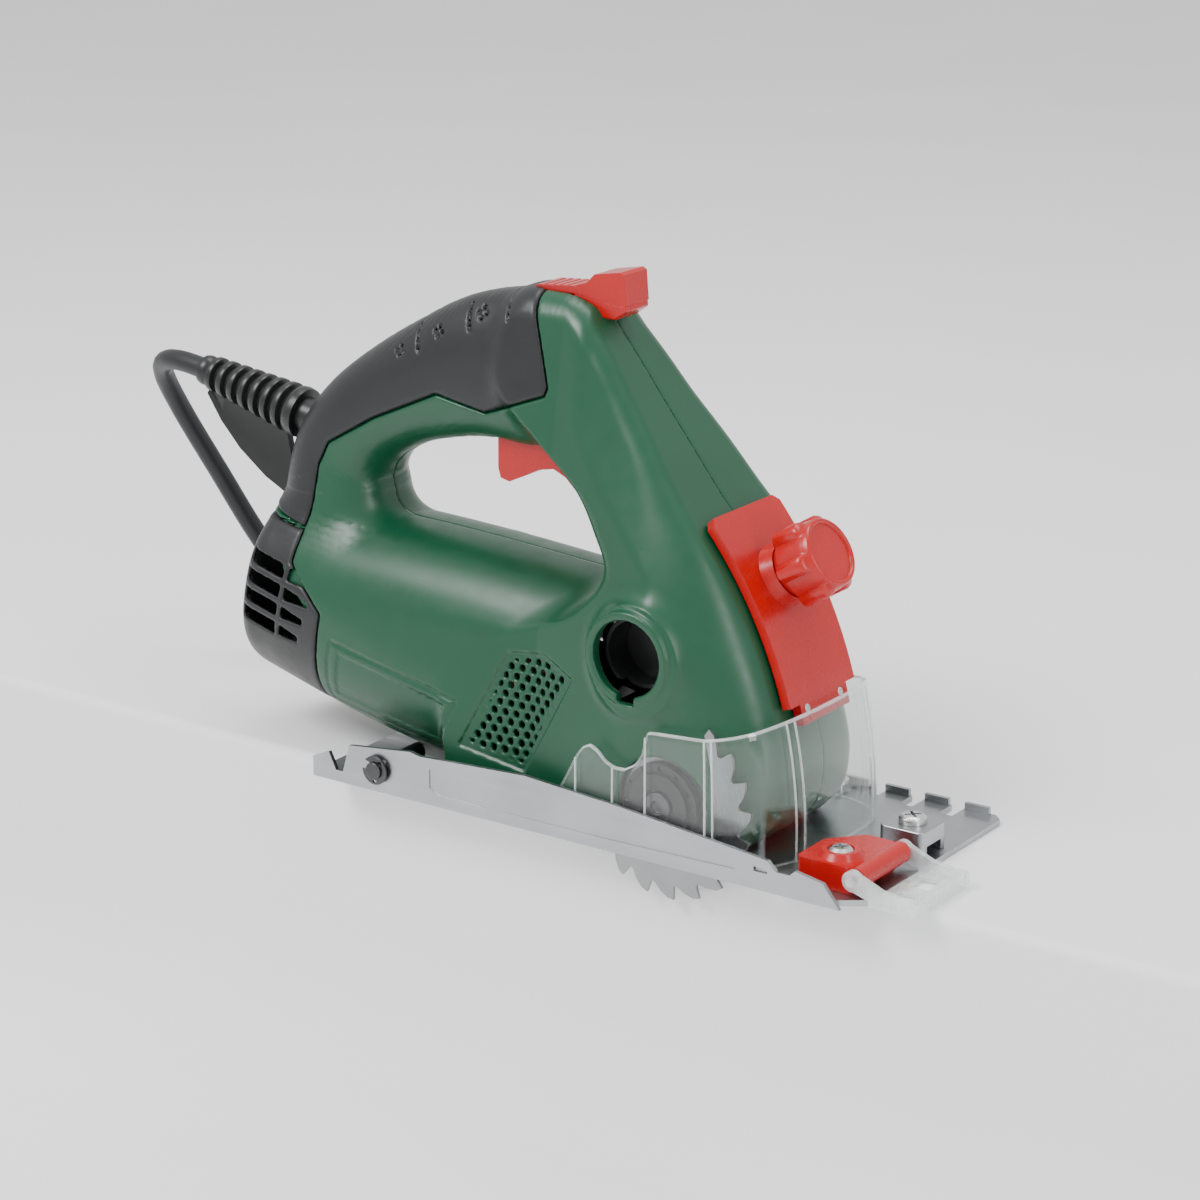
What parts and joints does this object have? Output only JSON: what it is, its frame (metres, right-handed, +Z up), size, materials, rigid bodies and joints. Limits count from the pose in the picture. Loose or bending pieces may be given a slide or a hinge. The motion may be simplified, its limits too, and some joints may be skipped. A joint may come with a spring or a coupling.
{
  "type": "circular saw",
  "caption": "Small corded plunge circular saw with a D handle, trigger, lock-off slider, clear blade guard, curved depth guide with clamp knob and a flat base.",
  "frame": {"origin": "on the sole of the base plate, in the middle of its width; the saw stands on the sole, plunged, with the blade reaching below it", "axes": "+X forward to the nose, +Y to the saw's left, +Z up from the sole"},
  "size_m": [0.3546, 0.2165, 0.1935],
  "materials": {
    "green_plastic": "satin",
    "soft_black": "matt",
    "black_plastic": "satin",
    "red_plastic": "semi-gloss",
    "pressed_steel": "satin",
    "clear_plastic": "clear polished",
    "zinc_steel": "bright zinc",
    "dark_steel": "blackened",
    "blade_steel": "ground",
    "shaft_steel": "turned",
    "gear_steel": "hardened",
    "cast_alloy": "as cast",
    "lamination_steel": "varnished",
    "copper_wire": "enamelled",
    "copper_bar": "turned",
    "brass_sheet": "bright",
    "carbon": "matt",
    "cord_rubber": "matt",
    "capacitor_case": "gloss",
    "plated_brass": "nickel"
  },
  "bodies": {
    "base": {"base_plate": "pressed_steel", "blade_guard": "clear_plastic", "guard_screws": "zinc_steel", "depth_guide": "red_plastic", "guide_rivets": "zinc_steel", "pivot_pin_right": "dark_steel", "pivot_pin_left": "dark_steel", "pivot_clips": "dark_steel", "guide_bracket": "pressed_steel", "guide_screw": "zinc_steel", "indicator_mount": "red_plastic", "indicator_screw": "zinc_steel", "knob_clamp_plate": "zinc_steel", "plunge_spring": "zinc_steel", "cord_lead": "cord_rubber", "cord_coil": "cord_rubber", "cord_tie": "black_plastic", "cord_tail": "cord_rubber", "plug_body": "cord_rubber", "plug_pins": "plated_brass"},
    "depth_knob": {"depth_knob": "red_plastic", "knob_bolt": "zinc_steel"},
    "indicator": {"cut_indicator": "clear_plastic"},
    "housing": {"housing_right": "green_plastic", "housing_left": "green_plastic", "handle_grip": "soft_black", "rear_vent_cap": "black_plastic", "chip_duct": "black_plastic", "housing_screws": "zinc_steel", "gear_case": "cast_alloy", "spindle_bearing_right": "shaft_steel", "spindle_bearing_left": "shaft_steel", "motor_bearing_front": "shaft_steel", "motor_bearing_rear": "shaft_steel", "stator_core": "lamination_steel", "field_coils": "copper_wire", "brush_holders": "brass_sheet", "carbon_brushes": "carbon", "switch_body": "black_plastic", "trigger_pin": "zinc_steel", "trigger_spring": "zinc_steel", "capacitor": "capacitor_case", "cord_clamp": "black_plastic", "bend_relief": "soft_black"},
    "armature": {"armature_shaft": "shaft_steel", "pinion": "gear_steel", "cooling_fan": "black_plastic", "armature_core": "lamination_steel", "armature_winding": "copper_wire", "commutator": "copper_bar"},
    "arbor": {"spindle": "shaft_steel", "bevel_gear": "gear_steel", "inner_flange": "dark_steel", "blade": "blade_steel", "outer_flange": "black_plastic", "blade_bolt": "dark_steel"},
    "trigger": {"trigger": "red_plastic"},
    "lock_slider": {"lock_slider": "red_plastic"}
  },
  "joints": [
    {"name": "plunge", "type": "hinge", "parent": "base", "child": "housing", "pos_m": [-0.076, 0, 0.008], "axis": [0, -1, 0], "range_deg": [0, 9], "stiffness_Nm_per_rad": 1, "springref_deg": 51.57, "deforming": ["plunge_spring", "cord_lead"]},
    {"name": "depth_knob_turn", "type": "hinge", "parent": "base", "child": "depth_knob", "pos_m": [0.0563, 0, 0.08876], "axis": [0.8536, 0, 0.521], "range_deg": [0, 180]},
    {"name": "indicator_flip", "type": "hinge", "parent": "base", "child": "indicator", "pos_m": [0.1045, -0.025, 0.0076], "axis": [0, -1, 0], "range_deg": [0, 95]},
    {"name": "motor_spin", "type": "hinge", "parent": "housing", "child": "armature", "pos_m": [0.034, 0, 0.017], "axis": [-0.9816, 0, 0.1908], "continuous": true},
    {"name": "blade_spin", "type": "hinge", "parent": "housing", "child": "arbor", "pos_m": [0.034, 0, 0.017], "axis": [0, 1, 0], "continuous": true},
    {"name": "trigger_pull", "type": "hinge", "parent": "housing", "child": "trigger", "pos_m": [-0.0276, 0, 0.1176], "axis": [0, 1, 0], "range_deg": [0, 8], "stiffness_Nm_per_rad": 0.8, "springref_deg": -6.88, "deforming": ["trigger_spring"]},
    {"name": "lock_slide", "type": "slide", "parent": "housing", "child": "lock_slider", "axis": [1, 0, 0], "range_m": [0, 0.004], "stiffness_N_per_m": 400, "springref_m": -0.004}
  ],
  "couplings": [
    {"joint": "blade_spin", "follows": "motor_spin", "ratio": 0.44444}
  ]
}
